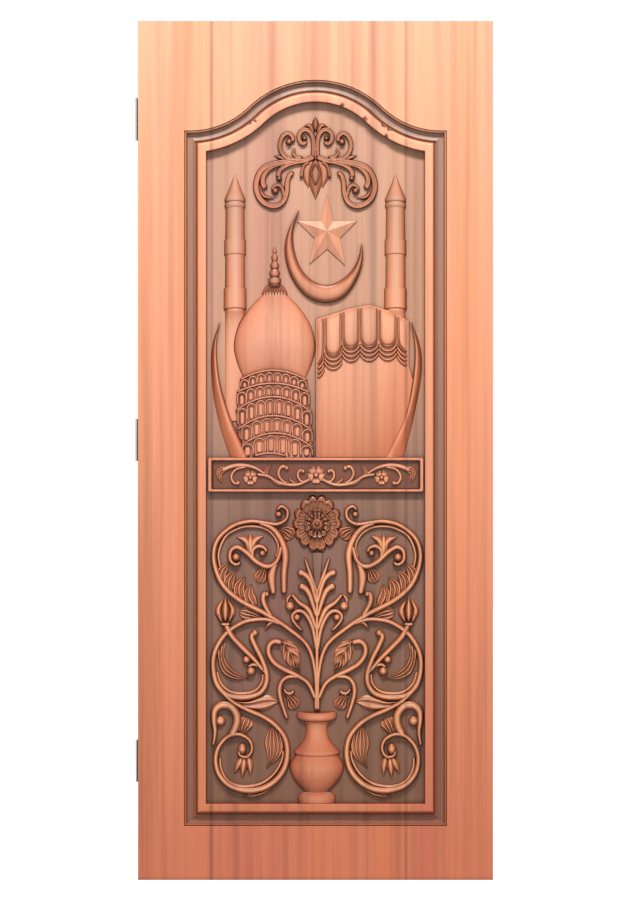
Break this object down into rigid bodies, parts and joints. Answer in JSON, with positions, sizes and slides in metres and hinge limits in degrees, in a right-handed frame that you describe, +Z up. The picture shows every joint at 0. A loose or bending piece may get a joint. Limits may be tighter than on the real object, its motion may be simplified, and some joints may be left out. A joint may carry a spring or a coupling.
{
  "type": "carved wooden door",
  "caption": "Tall timber door leaf with an arched moulded panel, carved dome, minarets, crescent, scrolls and vase in relief, hung on lift-off hinges.",
  "frame": {"origin": "bottom centre of the leaf, in the middle of its thickness", "axes": "+X to the right seen from the carved side, +Y from the carved face to the back, +Z up"},
  "size_m": [0.8475, 0.053, 2.032],
  "materials": {
    "frame_teak": "satin oiled",
    "moulding_teak": "satin oiled",
    "sunk_teak": "matt stained",
    "carved_teak": "satin oiled",
    "hinge_steel": "brushed"
  },
  "bodies": {
    "hinge_frame_side": {"bottom_hinge_frame_plate": "hinge_steel", "middle_hinge_frame_plate": "hinge_steel", "top_hinge_frame_plate": "hinge_steel"},
    "leaf": {"arcaded_tower": "carved_teak", "band_carving": "carved_teak", "bottom_hinge_door_plate": "hinge_steel", "bottom_rail": "frame_teak", "crescent": "carved_teak", "crest": "carved_teak", "cross_band": "carved_teak", "dome_finial": "carved_teak", "draped_canopy": "carved_teak", "foot_moulding": "moulding_teak", "head_moulding": "moulding_teak", "hinge_stile": "frame_teak", "left_horn_leaf": "carved_teak", "left_minaret": "carved_teak", "left_moulding": "moulding_teak", "lock_stile": "frame_teak", "lower_panel": "sunk_teak", "middle_hinge_door_plate": "hinge_steel", "middle_rail": "sunk_teak", "onion_dome": "carved_teak", "right_horn_leaf": "carved_teak", "right_minaret": "carved_teak", "right_moulding": "moulding_teak", "rosette": "carved_teak", "scrollwork": "carved_teak", "star": "carved_teak", "top_hinge_door_plate": "hinge_steel", "top_rail": "frame_teak", "upper_panel": "sunk_teak", "vase": "carved_teak"}
  },
  "joints": [
    {"name": "door_swing", "type": "hinge", "parent": "hinge_frame_side", "child": "leaf", "pos_m": [-0.4215, 0.027, 1.041], "axis": [0, 0, 1], "range_deg": [0, 180]}
  ]
}
